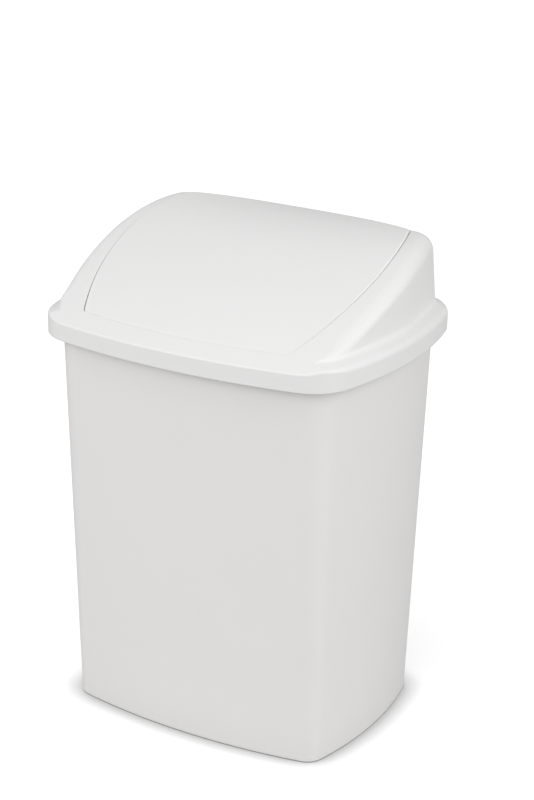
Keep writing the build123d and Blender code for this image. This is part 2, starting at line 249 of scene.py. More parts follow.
class Outline:
    """A rectangle with bowed sides and rounded corners, given by its reach each way, in millimetres."""

    def __init__(self, half_width, front, back, front_bow, back_bow, side_bow, corner):
        self.sizes = np.array([half_width, front, back, front_bow, back_bow, side_bow, corner], float)
        self.half_width, self.side_bow, self.corner = half_width, side_bow, corner
        self.front, self.back = front, back
        self.ends = ((-1, front, front_bow), (1, back, back_bow))

    def grown(self, by):
        """The outline moved outwards by one distance, or inwards where it is negative."""
        return Outline(*(self.sizes + by))

    def side_x(self, y):
        """How far out the bowed side is at one place along it."""
        return self.half_width - self.side_bow + sqrt(self.side_bow**2 - y**2)

    def end_y(self, x, side):
        """How far back the bowed end is at one place across: side is -1 for the front and 1 for the back."""
        _, reach, bow = self.ends[(side + 1) // 2]
        return side * (reach - bow + sqrt(bow**2 - x**2))

    def corner_at(self, reach, bow):
        """A corner's centre, and the directions in which it meets the end and the side."""
        end = np.array([0, reach - bow])
        side = np.array([self.half_width - self.side_bow, 0])
        end_arm = bow - self.corner
        side_arm = self.side_bow - self.corner
        between = side - end
        gap = np.hypot(*between)
        along = (end_arm**2 - side_arm**2 + gap**2) / (2 * gap)
        turn = np.array([between[1], -between[0]]) / gap
        centre = end + between / gap * along + turn * sqrt(end_arm**2 - along**2)
        leave, join = centre - end, centre - side
        return centre, np.arctan2(leave[1], leave[0]), np.arctan2(join[1], join[0])

    def ring(self):
        """Points counter-clockwise from the middle of the front, and the way out at each of them."""
        (_, front, front_bow), (_, back, back_bow) = self.ends
        low, low_leave, low_join = self.corner_at(front, front_bow)
        high, high_leave, high_join = self.corner_at(back, back_bow)
        arcs = (
            ((0, front_bow - front), front_bow, -pi / 2, -low_leave),
            ((low[0], -low[1]), self.corner, -low_leave, -low_join),
            ((self.half_width - self.side_bow, 0), self.side_bow, -low_join, high_join),
            (high, self.corner, high_join, high_leave),
            ((0, back - back_bow), back_bow, high_leave, pi / 2),
        )
        points, ways = [], []
        for (centre, radius, start, end), steps in zip(arcs, HALF_ROUND):
            turns = np.linspace(start, end, steps, endpoint=False)
            way = np.stack([np.cos(turns), np.sin(turns)], 1)
            ways.append(way)
            points.append(np.array(centre) + way * radius)
        points = np.concatenate([*points, [[0, back]]])
        ways = np.concatenate([*ways, [[0, 1]]])
        mirror = np.array([-1, 1])
        return tuple(np.concatenate([half, half[-2:0:-1] * mirror]) for half in (points, ways))

    def outside(self, points):
        """How far outside the outline each point is, or inside where the answer is negative."""
        x, y = np.abs(points[..., 0]), points[..., 1]
        to_side = np.hypot(x - self.half_width + self.side_bow, y) - self.side_bow
        result = to_side
        for sign, reach, bow in self.ends:
            centre, leave, join = self.corner_at(reach, bow)
            ahead = y * sign
            to_end = np.hypot(x, ahead - reach + bow) - bow
            turn = np.arctan2(ahead - centre[1], x - centre[0])
            to_corner = np.hypot(x - centre[0], ahead - centre[1]) - self.corner
            near = np.where((turn > join) & (turn < leave), to_corner, np.maximum(to_side, to_end))
            result = np.where(ahead > 0, near, result)
        return result


# %% [markdown]
# ## Skins
# A moulding's surface is a stack of rings: each ring goes once round the bin, and the next one is a little
# further along the wall's section. Bridging neighbouring rings makes one closed skin. A single point at
# either end of the stack closes it, and a stack whose ends meet makes a frame with a hole, like the hood.

# %% Skin
SHARP = radians(32)


def stacked(rings, closed=False):
    """The corners and faces that bridge a stack of rings of points."""
    corners, starts, faces = [], [], []
    for ring in rings:
        ring = np.atleast_2d(ring)
        starts.append((len(corners), len(ring)))
        corners.extend(map(tuple, ring))
    pairs = list(zip(starts, starts[1:]))
    if closed:
        pairs.append((starts[-1], starts[0]))
    for (low, low_count), (high, high_count) in pairs:
        count = max(low_count, high_count)
        for step in range(count):
            after = (step + 1) % count
            face = [low + step % low_count, low + after % low_count]
            face += [high + after % high_count, high + step % high_count]
            faces.append(tuple(dict.fromkeys(face)))
    return corners, faces


def new_piece(name, shells):
    """One mesh object from closed shells given in millimetres."""
    corners, faces = [], []
    for shell_corners, shell_faces in shells:
        offset = len(corners)
        corners += [tuple(value * MM for value in corner) for corner in shell_corners]
        faces += [tuple(index + offset for index in face) for face in shell_faces]
    mesh = bpy.data.meshes.new(name)
    mesh.from_pydata(corners, [], faces)
    mesh.validate()
    piece = bpy.data.objects.new(name, mesh)
    scene.collection.objects.link(piece)
    return piece


def at_level(points, z):
    """A ring of plan points at one height, or at a height for each point."""
    return np.column_stack([points, np.broadcast_to(z, len(points))])


def finish(piece, material):
    """Give a piece its plastic, and smooth faces that still break at real edges."""
    piece.data.materials.clear()
    piece.data.materials.append(material)
    piece.data.shade_smooth()
    piece.data.set_sharp_from_angle(angle=SHARP)
    print(piece.name, len(piece.data.polygons), "faces")


def take_in(piece, other):
    """Add another object's mesh to a piece's own, and remove that object."""
    both = bmesh.new()
    both.from_mesh(piece.data)
    both.from_mesh(other.data)
    both.to_mesh(piece.data)
    both.free()
    bpy.data.objects.remove(other)


# %% [markdown]
# ## The body
# The body is pulled off a steel core, so it tapers: its wall runs straight from a small foot outline up to
# a larger mouth outline. At the top it turns out into a rim with a hanging lip, which stiffens the mouth
# and carries the hood. Its rings mix the two outlines by height, from the middle of the underside, out and
# up the wall, over the rim and down inside to the floor.

# %% Sizes of the body
body_low, body_high = (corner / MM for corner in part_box("bin_body"))
BODY_TOP = body_high.z
RIM_REACH = body_high.x
BODY_WALL = 2.0
FLOOR_Z = 6.5
FOOT_RECESS = 4.0
FOOT_LAND = 6.0
BASE_ROUNDING = 2.0
FLOOR_ROUNDING = 6.0
RIM_THICKNESS = 2.2
RIM_ROUNDING = 1.5
LIP_DEPTH = 11.0
WALL_RINGS = 14

FOOT = Outline(145.1, 109.3, 109.3, 606.6, 606.6, 356.8, 17.8)
MOUTH = Outline(156.8, 126.2, 126.2, 623.0, 623.0, 368.0, 34.1)
RIM = Outline(RIM_REACH, -body_low.y, body_high.y, 633.2, 633.2, 378.2, 40.4)


# %% Rings of the body
def wall_points(z, inwards=0.0):
    """Points round the tapered wall at one height, moved in by one distance."""
    foot, foot_way = FOOT.ring()
    mouth, mouth_way = MOUTH.ring()
    share = z / BODY_TOP
    way = foot_way * (1 - share) + mouth_way * share
    way /= np.linalg.norm(way, axis=1)[:, None]
    return at_level(foot * (1 - share) + mouth * share - way * inwards, z)


def quarter(radius, steps=6):
    """Distances in from one face and up from the other, along a quarter-round edge between them."""
    turns = np.linspace(0, pi / 2, steps)
    return [(radius * (1 - sin(turn)), radius * (1 - cos(turn))) for turn in turns]


def body_rings():
    """The body from the middle of its underside, up outside, over the rim, and down to the floor inside."""
    land = FOOT.grown(-FOOT_LAND).ring()[0]
    lip = RIM.grown(-RIM_THICKNESS).ring()[0]
    lip_low = BODY_TOP - LIP_DEPTH
    rings = [np.array([0, 0, FOOT_RECESS]), at_level(land, FOOT_RECESS), at_level(land, 0)]
    rings += [wall_points(up, inwards) for inwards, up in quarter(BASE_ROUNDING)]
    rings += [wall_points(z) for z in np.linspace(BASE_ROUNDING, BODY_TOP - RIM_THICKNESS, WALL_RINGS)[1:]]
    rings += [at_level(lip, BODY_TOP - RIM_THICKNESS), at_level(lip, lip_low)]
    rings += [at_level(RIM.ring()[0], z) for z in (lip_low, BODY_TOP - RIM_ROUNDING)]
    for inwards, down in quarter(RIM_ROUNDING)[-2::-1]:
        rings.append(at_level(RIM.grown(-inwards).ring()[0], BODY_TOP - down))
    rings += [wall_points(z, BODY_WALL) for z in np.linspace(BODY_TOP, FLOOR_Z + FLOOR_ROUNDING, WALL_RINGS)]
    for inwards, up in quarter(FLOOR_ROUNDING)[-2::-1]:
        rings.append(wall_points(FLOOR_Z + up, BODY_WALL + inwards))
    return rings + [np.array([0, 0, FLOOR_Z])]


body = new_piece("body", [stacked(body_rings())])

# %% [markdown]
# ## Ribs
# Thin upright ribs stiffen the rim of the body, and others under the hood's shoulder stand on that rim. They
# repeat at an even spacing, so a small geometry tree sets one rib on each marked point, turned by the
# point's own angle, and slopes its top to suit the surface over it.

# %% The rib tree
ribs_tree, graph, ask = new_tree("ribs_on_points", {
    "Thickness": "Float", "Reach": "Float", "Height": "Float", "Climb": "Float", "Material": "Material",
})
rib_size = graph.vector(ask["Thickness"], ask["Reach"], ask["Height"])
block = graph.make("GeometryNodeMeshCube", {"Size": rib_size})
place = graph.make("GeometryNodeInputPosition")
depth = graph.make("ShaderNodeSeparateXYZ", {0: place}).beside("Y")
level = depth.beside("Z")
top = graph.math("GREATER_THAN", level, 0.0)
inwards = 0.5 * ask["Reach"] - depth
raised = 0.5 * ask["Height"] + top * inwards * ask["Climb"]
shift = graph.vector(y=-0.5 * ask["Reach"], z=raised)
rib = graph.make("GeometryNodeSetPosition", {"Geometry": block, "Offset": shift})
turn = graph.make("GeometryNodeInputNamedAttribute", {"Name": "turn"}, {"data_type": "FLOAT"})
facing = graph.make("FunctionNodeEulerToRotation", {0: graph.vector(z=turn)})
marks = {"Points": ask["Geometry"], "Instance": rib, "Rotation": facing}
graph.hand_out(graph.make("GeometryNodeInstanceOnPoints", marks), ask["Material"])


# %% Marked points, and the ribs on them
def seats(outline, spacing, sides=(-1, 1), ends=(-1, 1)):
    """Evenly spaced places round an outline, and the turn that faces each one outwards."""

    def along(reach):
        """Even marks both ways from the middle of a face, as far as its corners."""
        steps = int((reach - outline.corner) / spacing)
        return np.arange(-steps, steps + 1) * spacing

    across = along(outline.half_width)
    places = [(x, outline.end_y(x, side), 0 if side > 0 else pi) for side in ends for x in across]
    beside = along(outline.back)
    return places + [(side * outline.side_x(y), y, -side * pi / 2) for side in sides for y in beside]


def ribs_on(name, places, z, thickness, reach, height, climb, material):
    """Ribs of one size that stand on places at one level, as an object of their own."""
    piece = new_piece(name, [([(x, y, z) for x, y, _ in places], [])])
    turns = piece.data.attributes.new("turn", "FLOAT", "POINT")
    turns.data.foreach_set("value", [turn for _, _, turn in places])
    sizes = {"Thickness": thickness * MM, "Reach": reach * MM, "Height": height * MM}
    run_tree(piece, ribs_tree, {**sizes, "Climb": climb, "Material": material})
    print(name, len(places), "ribs")
    return piece


# %% Ribs under the rim of the body
RIM_RIB_THICKNESS = 1.6
RIM_RIB_SPACING = 42.0
RIM_OVERHANG = 10.2

rim_places = seats(RIM.grown(-RIM_THICKNESS / 2), RIM_RIB_SPACING)
rim_ribs = ribs_on(
    "rim_ribs", rim_places, BODY_TOP - LIP_DEPTH, RIM_RIB_THICKNESS,
    RIM_OVERHANG, LIP_DEPTH - RIM_THICKNESS / 2, 0.0, body_plastic,
)
take_in(body, rim_ribs)
finish(body, body_plastic)

# %% [markdown]
# ## The arch
# The top of the hood and the flap lie on one curved sheet, the arch. On the middle plane it is a long arc
# that climbs from the front edge, then a tighter arc over the crest. Each of its points is swept sideways
# round a far upright axis behind the bin, so the front edge of the sheet bows with the front of the hood.

# %% Sizes of the arch
hood_low, hood_high = (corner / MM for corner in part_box("lid_hood"))
HOOD_WALL = 2.2
SKIRT = Outline(hood_high.x, -hood_low.y, hood_high.y, 636.2, 636.2, 381.2, 43.4)
BOW_CENTRE = SKIRT.ends[0][2] - SKIRT.front
CREST_Y = 72.0
CREST_RADIUS = 238.0
CREST_TURN = radians(16.5)
FRONT_ABOVE_RIM = 4.2

join_way = np.array([-sin(CREST_TURN), cos(CREST_TURN)])
crest_centre = np.array([CREST_Y, hood_high.z - CREST_RADIUS])
fall = np.array([hood_low.y, BODY_TOP + FRONT_ABOVE_RIM]) - crest_centre - join_way * CREST_RADIUS
SLOPE_RADIUS = -fall.dot(fall) / (2 * fall.dot(join_way))
slope_centre = crest_centre - join_way * (SLOPE_RADIUS - CREST_RADIUS)
print("the arch climbs on a radius of", round(SLOPE_RADIUS), "mm")


# %% The height of the arch
def arch_height(points, lowered=0.0):
    """How high the arch is over each plan point, or the same sheet lowered square to itself."""
    start = BOW_CENTRE - np.hypot(points[..., 0], BOW_CENTRE - points[..., 1])
    heights = []
    for centre, radius in ((slope_centre, SLOPE_RADIUS), (crest_centre, CREST_RADIUS)):
        inside = np.maximum((radius - lowered) ** 2 - (start - centre[0]) ** 2, 0)
        heights.append(centre[1] + np.sqrt(inside))
    join = (crest_centre + join_way * (CREST_RADIUS - lowered))[0]
    return np.where(start < join, *heights)


# %% [markdown]
# ## The hood
# The hood's section changes all the way round. At the front the arch meets the skirt in a crisp edge. At
# the sides a sloping shoulder leads up to the cheeks, and the ridge where a cheek meets the arch starts
# narrow and opens to a wide round at the back. So each place round the skirt gets a section of its own: the
# wall's path and the arch are cut to whichever is lower, and a ball that touches both from inside gives the
# rounding where they cross. The ball grows with the height of the arch over the shoulder, and at the back.

# %% Sizes of the hood
SKIRT_Z = hood_low.z
SKIRT_EDGE_ROUNDING = 0.8
SHOULDER_ABOVE_RIM = 7.2
SHOULDER_Z = BODY_TOP + SHOULDER_ABOVE_RIM
SHOULDER_SLOPE = radians(27)
CHEEK_INSET = 12.4

# %% Sizes of the opening
FLAP_GAP = 0.4
FLAP = Outline(134.85, 122.75, 102.95, 521.45, 460.45, 255.95, 5.45)
OPENING = FLAP.grown(FLAP_GAP)
OPENING_ROUNDING = 0.8
COLLAR_DEPTH = 15.0
COLLAR_ABOVE_RIM = 1.5
print("the opening is", round(2 * OPENING.half_width), "mm wide")

# %% [markdown]
# ## Paths
# A section is a path of points, each one an inset from the skirt and a height. Neighbouring sections are
# bridged point to point, so each needs the same number of points, on the same features. A path is drawn very
# finely first. Then a fixed number of points is spread along it, closer together where it turns.

# %% Paths
FINE = 0.2
SECTION_STEP = 1.5
SECTION_TURN = radians(10)
TURN_WINDOW = 5
FEWEST_ON_BEND = 5


def rounded_path(corners, radii):
    """Straight runs whose corners are rounded, as (inset, height) points."""
    corners = np.array(corners, float)
    stops = [corners[:1]]
    for before, corner, after, radius in zip(corners, corners[1:], corners[2:], radii):
        arrive = (corner - before) / np.linalg.norm(corner - before)
        depart = (after - corner) / np.linalg.norm(after - corner)
        bend = np.arccos(np.clip(arrive.dot(depart), -1, 1))
        middle = corner + (depart - arrive) / np.linalg.norm(depart - arrive) * radius / cos(bend / 2)
        first, last = (corner + way * radius * tan(bend / 2) - middle for way in (-arrive, depart))
        stops.append(middle + swung(first, last, max(FEWEST_ON_BEND, int(radius * bend / FINE))))
    return even(np.concatenate([*stops, corners[-1:]]), FINE)


def swung(first, last, count):
    """Arms of one length that swing from the first to the last."""
    bend = np.arccos(np.clip(first.dot(last) / first.dot(first), -1, 1))
    shares = np.linspace(0, 1, count)[:, None]
    return (first * np.sin((1 - shares) * bend) + last * np.sin(shares * bend)) / sin(bend)


def marked(path, scale, count):
    """Points at even marks on a scale that runs along a path."""
    marks = np.linspace(0, scale[-1], count)
    return np.stack([np.interp(marks, scale, path[:, axis]) for axis in (0, 1)], 1)


def even(path, spacing):
    """A path with its points at an even spacing."""
    lengths = np.concatenate([[0], np.cumsum(np.linalg.norm(np.diff(path, axis=0), axis=1))])
    return marked(path, lengths, int(lengths[-1] / spacing) + 2)


def spread(path, count):
    """A fixed number of points along an even path, closer together where it turns."""
    steps = np.diff(path, axis=0)
    turning = np.abs(np.gradient(np.unwrap(np.arctan2(steps[:, 1], steps[:, 0]))))
    turning = np.convolve(turning, np.ones(TURN_WINDOW) / TURN_WINDOW, "same")
    worth = np.linalg.norm(steps, axis=1) / SECTION_STEP + turning / SECTION_TURN
    return marked(path, np.concatenate([[0], np.cumsum(worth)]), count)


def inward(path):
    """The way into the plastic, square to a path that climbs the outside of a wall."""
    along = np.gradient(path, axis=0)
    along /= np.linalg.norm(along, axis=1)[:, None]
    return np.stack([along[:, 1], -along[:, 0]], 1)


# %% [markdown]
# ## What changes round the skirt
# From the front corners to the back, the place and the lean of the cheek change, and so do the roundings of
# its root, of the shoulder and of the ridge. Each change eases in and out over a span of Y, so that no
# section differs by a jump from the one beside it.

# %% Smooth changes
CORNER_SPAN = (-120.0, -78.0)
SIDE_END = (0.0, 60.0)
DRAFT_SPAN = (50.0, 110.0)
BACK_SPAN = (85.0, 130.0)
HALVINGS = 40


def smooth_step(value, limits):
    """A share from 0 to 1 that eases in and out between two limits."""
    share = np.clip((value - limits[0]) / (limits[1] - limits[0]), 0, 1)
    return share * share * (3 - 2 * share)


def reach_of(outline):
    """How far in from the skirt each section meets another outline."""
    low = np.zeros(len(skirt_points))
    high = np.full(len(skirt_points), SKIRT.corner)
    for _ in range(HALVINGS):
        middle = (low + high) / 2
        beyond = outline.outside(skirt_points - skirt_ways * middle[:, None]) > 0
        low = np.where(beyond, middle, low)
        high = np.where(beyond, high, middle)
    return low


skirt_points, skirt_ways = SKIRT.ring()
opening_reach = reach_of(OPENING)
collar_reach = reach_of(OPENING.grown(HOOD_WALL))
past_corner, past_side, drafted, at_back = (
    smooth_step(skirt_points[:, 1], span) for span in (CORNER_SPAN, SIDE_END, DRAFT_SPAN, BACK_SPAN)
)
print("the opening's edge is", round(opening_reach.min(), 1), "to", round(opening_reach.max(), 1), "mm in")

# %% The shoulder and the cheek's root
CORNER_LIFT = 0.6
CORNER_ROUNDING = 3.4
SHOULDER_ROUNDING = 8.5
CORNER_INSET = 11.6
SIDE_INSET = 10.5
CORNER_ROOT_DROP = 1.0
SIDE_ROOT_ROUNDING = 8.5
CHEEK_ROOT_ROUNDING = 3.0
SIDE_DRAFT = radians(2.0)
BACK_DRAFT = radians(4.6)

cheek_root_z = SHOULDER_Z + CHEEK_INSET * tan(SHOULDER_SLOPE)
on_side = past_corner * (1 - past_side)
shoulder_z = SHOULDER_Z + CORNER_LIFT * (1 - past_corner)
shoulder_rounding = CORNER_ROUNDING + (SHOULDER_ROUNDING - CORNER_ROUNDING) * past_corner
root_inset = CORNER_INSET + (SIDE_INSET - CORNER_INSET) * past_corner + (CHEEK_INSET - SIDE_INSET) * past_side
root_rounding = CHEEK_ROOT_ROUNDING + (SIDE_ROOT_ROUNDING - CHEEK_ROOT_ROUNDING) * on_side
root_z = cheek_root_z - CORNER_ROOT_DROP * (1 - past_corner)
cheek_draft = SIDE_DRAFT + (BACK_DRAFT - SIDE_DRAFT) * drafted
print("the cheek stands", round(root_inset.min(), 1), "to", round(root_inset.max(), 1), "mm in")

# %% The ridge
FRONT_EDGE_ROUNDING = 2.3
RIDGE_ROUNDING = 14.5
BACK_ROUNDING = 26.0
RIDGE_RISE = (0.0, 14.0)

ridge_height = arch_height(skirt_points - skirt_ways * CHEEK_INSET) - cheek_root_z
ball_radius = (
    FRONT_EDGE_ROUNDING
    + (RIDGE_ROUNDING - FRONT_EDGE_ROUNDING) * smooth_step(ridge_height, RIDGE_RISE)
    + (BACK_ROUNDING - RIDGE_ROUNDING) * at_back
)
print("the ridge rounding runs from", round(ball_radius.min(), 1), "to", round(ball_radius.max(), 1), "mm")

# %% The section at one place
SKIRT_STEPS = 16
OUTER_STEPS = 112
LINING_STEPS = 50
EDGE_STEPS = 5
COLLAR_STEPS = (5, 4)
LANDING_STEPS = 4
SKIRT_TOP = BODY_TOP + 1.0
NUDGE = 0.01
BALL_STEPS = 24


class Section:
    """The hood's section where one skirt point looks straight in, as (inset, height) points."""

    def __init__(self, index):
        self.start = skirt_points[index]
        self.way = skirt_ways[index]
        self.reach = opening_reach[index]
        self.collar = collar_reach[index]
        self.radius = ball_radius[index]
        top_z = hood_high.z + HOOD_WALL
        top_inset = root_inset[index] + (top_z - root_z[index]) * tan(cheek_draft[index])
        self.wall = rounded_path(
            [(0, SKIRT_TOP), (0, shoulder_z[index]), (root_inset[index], root_z[index]), (top_inset, top_z)],
            [shoulder_rounding[index], root_rounding[index]],
        )

    def arch(self, inset):
        """The height and the steepness of the arch above a place this far in."""
        inset = np.asarray(inset, float)
        height = arch_height(self.start - self.way * inset[..., None])
        ahead = arch_height(self.start - self.way * (inset + NUDGE)[..., None])
        return height, (ahead - height) / NUDGE

    def below_arch(self, point):
        """How far points are below the arch, square to it, and the inset of the nearest place on it."""
        foot = point[..., 0]
        for _ in range(LANDING_STEPS):
            height, steep = self.arch(foot)
            length = np.sqrt(1 + steep**2)
            depth = (height + steep * (point[..., 0] - foot) - point[..., 1]) / length
            foot = point[..., 0] - depth * steep / length
        return depth, foot

    def on_arch(self, start, end):
        """Points along the arch between two insets."""
        insets = np.linspace(start, end, max(2, int(abs(end - start) / FINE)))
        return np.stack([insets, self.arch(insets)[0]], 1)

    def over(self):
        """From the top of the skirt over to the opening, along whichever of wall and arch is lower."""
        centres = self.wall + inward(self.wall) * self.radius
        depth, _ = self.below_arch(centres)
        free = depth >= self.radius
        free[-1] = False
        changes = np.flatnonzero(np.diff(free))
        path = [self.wall[: changes[0] + 1]]
        landed = None
        for change in changes:
            share = (depth[change] - self.radius) / (depth[change] - depth[change + 1])
            touch, centre = (
                line[change] + (line[change + 1] - line[change]) * share for line in (self.wall, centres)
            )
            foot = float(self.below_arch(centre)[1])
            landing = np.array([foot, self.arch(foot)[0]])
            arc = centre + swung(touch - centre, landing - centre, BALL_STEPS)
            if free[change]:
                path.append(arc)
                landed = foot
            else:
                after = changes[changes > change]
                path += [self.on_arch(landed, foot), arc[::-1], self.wall[change + 1 : after[0] + 1]]
        end = self.reach - OPENING_ROUNDING
        path = np.concatenate([*path, self.on_arch(landed, max(end, landed) + 1)])
        climb = path.sum(axis=1)
        path = even(path[climb >= np.maximum.accumulate(climb)], FINE)
        last = np.argmax(path[:, 0] > end)
        return np.concatenate([path[:last], [[end, np.interp(end, path[:, 0], path[:, 1])]]])

    def loop(self):
        """The whole section once round: up outside, over, down the collar, and back along the lining."""
        over = self.over()
        skirt = rounded_path([(HOOD_WALL, SKIRT_Z), (0, SKIRT_Z), (0, SKIRT_TOP)], [SKIRT_EDGE_ROUNDING])
        top = over[-1, 1]
        eased = quarter(OPENING_ROUNDING, EDGE_STEPS)[1:]
        edge = [(self.reach - inwards, top - down) for inwards, down in eased]
        low = max(top - COLLAR_DEPTH, BODY_TOP + COLLAR_ABOVE_RIM)
        lining = over + inward(over) * HOOD_WALL
        lining = lining[lining[:, 0] < self.collar]
        collar = [(self.reach, z) for z in np.linspace(edge[-1][1], low, COLLAR_STEPS[0])[1:]]
        collar += [(self.collar, z) for z in np.linspace(low, lining[-1, 1], COLLAR_STEPS[1])]
        return np.concatenate([
            spread(skirt, SKIRT_STEPS)[:-1], spread(over, OUTER_STEPS), edge, collar,
            spread(lining, LINING_STEPS)[-2::-1], [[HOOD_WALL, (SKIRT_Z + SKIRT_TOP) / 2]],
        ])


# %% The hood's rings
sections = np.array([Section(index).loop() for index in range(len(skirt_points))])
hood_rings = [
    at_level(skirt_points - skirt_ways * sections[:, step, :1], sections[:, step, 1])
    for step in range(sections.shape[1])
]
hood_shells = [stacked(hood_rings, closed=True)]
print("the hood has", len(hood_rings), "rings of", len(skirt_points), "points")

# %% [markdown]
# ## Rods and plates
# Pins, pegs and nubs are short round rods, and the ears and lugs that hold the pins and pegs are small
# plates cut to a profile. Both are stacks of rings too, with edges eased a little, as moulded edges are.

# %% Rods and plates
def rod(start, end, radius, easing=0.4, sides=40):
    """A round bar between two points along X or along Z."""
    start, end = np.array(start, float), np.array(end, float)
    along = (end - start) / np.linalg.norm(end - start)
    across = np.array([0.0, 1.0, 0.0])
    third = np.cross(along, across)
    turns = np.linspace(0, 2 * pi, sides, endpoint=False)[:, None]
    circle = across * np.cos(turns) + third * np.sin(turns)
    eased = quarter(easing, 4)
    rings = [start] + [start + along * up + circle * (radius - inwards) for inwards, up in eased]
    rings += [end - along * up + circle * (radius - inwards) for inwards, up in reversed(eased)]
    return stacked([*rings, end])


def plate(profile, low_x, high_x, easing=0.3):
    """A plate across X with a profile of (y, z) points, counter-clockwise seen from +X."""
    profile = np.array(profile, float)
    middle = profile.mean(axis=0)
    reach = np.linalg.norm(profile - middle, axis=1).max()
    eased = 1 - easing / reach
    rings = []
    for x, scale in ((low_x, eased), (low_x + easing, 1), (high_x - easing, 1), (high_x, eased)):
        rings.append(np.column_stack([np.full(len(profile), x), middle + (profile - middle) * scale]))
    poles = [np.array([x, *middle]) for x in (low_x, high_x)]
    return stacked([poles[0], *rings, poles[1]])


def both_sides(near_x, far_x):
    """The spans across X of the same rod or plate on the right and on the left."""
    return (near_x, far_x), (-far_x, -near_x)


def rods_across(near_x, far_x, place, radius):
    """The same rod on the right and on the left, at one (y, z) place."""
    return [rod((low, *place), (high, *place), radius) for low, high in both_sides(near_x, far_x)]


# %% [markdown]
# ## The hinge
# Each side wall of the opening has a lug with a bearing hole a little in front of the flap's middle, and a
# peg under it. The flap's pins turn in the bearings, and its side flange comes to rest on the pegs when it
# is pushed open. The pin fills its hole, so the lug is drawn without one. The pivot comes from the packed
# joint, so the pins turn exactly where the model says.

# %% Sizes of the hinge
swing = next(joint for joint in frame["joints"] if joint["name"] == "flap_swing")
pivot = Vector(swing["pos_m"]) / MM
PIN_RADIUS = 2.5
PIN_END_CLEARANCE = 0.6
EAR_RADIUS = 5.0
EAR_THICKNESS = 4.0
LUG_RADIUS = 5.2
LUG_THICKNESS = 4.6
LUG_STANDOFF = 0.05
REST_TILT = radians(1.0)
SWING = radians(55)
STOP_REACH = 13.0
STOP_RADIUS = 2.0
STOP_CLEARANCE = 0.3
FLANGE_DEPTH = 8.0
FLANGE_THICKNESS = 1.6
FLANGE_INSET = 0.6

opening_x = OPENING.side_x(pivot.y)
pivot_start = BOW_CENTRE - hypot(opening_x, BOW_CENTRE - pivot.y)
pivot_drop = float(arch_height(np.array([0, pivot_start]))) - pivot.z
pivot_turn = np.arcsin((slope_centre[0] - pivot_start) / SLOPE_RADIUS)
open_turn = pivot_turn + REST_TILT + SWING
stop_aside = FLANGE_DEPTH - pivot_drop * cos(pivot_turn) + STOP_RADIUS + STOP_CLEARANCE
stop_y = pivot.y - cos(open_turn) * STOP_REACH + sin(open_turn) * stop_aside
stop_z = pivot.z - sin(open_turn) * STOP_REACH - cos(open_turn) * stop_aside
print("the pivot is", round(pivot_drop, 1), "mm under the arch")
print("the peg is", round(pivot.z - stop_z, 1), "mm under the pivot")


# %% Lugs and pegs of the hood
def capsule(low, high, radius, steps=14):
    """The outline of a plate that joins two round ends, one over the other."""
    turns = np.linspace(0, pi, steps)
    top = [(high[0] + radius * cos(turn), high[1] + radius * sin(turn)) for turn in turns]
    bottom = [(low[0] - radius * cos(turn), low[1] - radius * sin(turn)) for turn in turns]
    return top + bottom


lug_outline = capsule((stop_y, stop_z), (pivot.y, pivot.z), LUG_RADIUS)
peg_x = FLAP.side_x(pivot.y - STOP_REACH) - FLANGE_INSET - FLANGE_THICKNESS
lug_inner_x = max(opening_x, OPENING.side_x(stop_y)) + LUG_STANDOFF
hood_shells += [plate(lug_outline, *span) for span in both_sides(lug_inner_x, opening_x + LUG_THICKNESS)]
hood_shells += rods_across(peg_x, opening_x + LUG_THICKNESS / 2, (stop_y, stop_z), STOP_RADIUS)
print("lugs", LUG_THICKNESS, "mm thick, and pegs of", 2 * STOP_RADIUS, "mm")

# %% [markdown]
# ## The ledge
# The back of the flap would drop into the bin if nothing held it. A ledge is sunk a little under the arch at
# the back of the opening, and two nubs on it carry the flap's back edge, which sits just proud of the hood.

# %% Ledge and nubs
SHELF_DROP = 3.0
SHELF_WIDTH = 20.0
NUB_RADIUS = 4.0
NUB_SPACING = 150.0
NUB_CLEARANCE = 0.15
FLAP_THICKNESS = 2.0
FLAP_LIP = 4.8
shelf_front = OPENING.back - SHELF_WIDTH


def ledge(columns=60, rows=8):
    """A curved strip under the arch, between the collar's sides and its back wall."""
    across = np.linspace(-1, 1, columns) * (OPENING.side_x(shelf_front) - HOOD_WALL * 2)
    depths = np.array([OPENING.grown(HOOD_WALL / 2).end_y(x, 1) for x in across]) - shelf_front
    rings = []
    for share in np.linspace(0, 1, rows):
        line = np.column_stack([across, shelf_front + depths * share])
        top = at_level(line, arch_height(line, SHELF_DROP))
        under = at_level(line, arch_height(line, SHELF_DROP + HOOD_WALL))
        rings.append(np.concatenate([top, under[::-1]]))
    return rings


def capped(rings):
    """A stack of rings closed with a point in the middle of each end."""
    return stacked([rings[0].mean(axis=0), *rings, rings[-1].mean(axis=0)])


def nub(x):
    """A short post on the ledge that the back edge of the flap rests on."""
    y = (shelf_front + FLAP.back) / 2
    place = np.array([x, y])
    low = float(arch_height(place, SHELF_DROP + HOOD_WALL / 2))
    lift = (y - pivot.y) * sin(REST_TILT)
    high = float(arch_height(place, FLAP_LIP + NUB_CLEARANCE)) + lift
    return rod((x, y, low), (x, y, high), NUB_RADIUS)


hood_shells += [capped(ledge()), nub(-NUB_SPACING / 2), nub(NUB_SPACING / 2)]

# %% [markdown]
# ## What the hood stands on
# The hood isn't fastened. Ribs under its shoulder stand on the rim of the body. They come from the same tree
# as the ribs of the rim, with tops that climb as the shoulder above them does.

# %% Ribs under the shoulder of the hood
SEAT_CLEARANCE = 0.2
SEAT_RIB_THICKNESS = 1.8
SEAT_RIB_SPACING = 84.0
SEAT_RIB_REACH = CHEEK_INSET - HOOD_WALL / 2
FRONT_RIB = (2.8, 0.62)
SIDE_RIB = (4.8, 0.5)

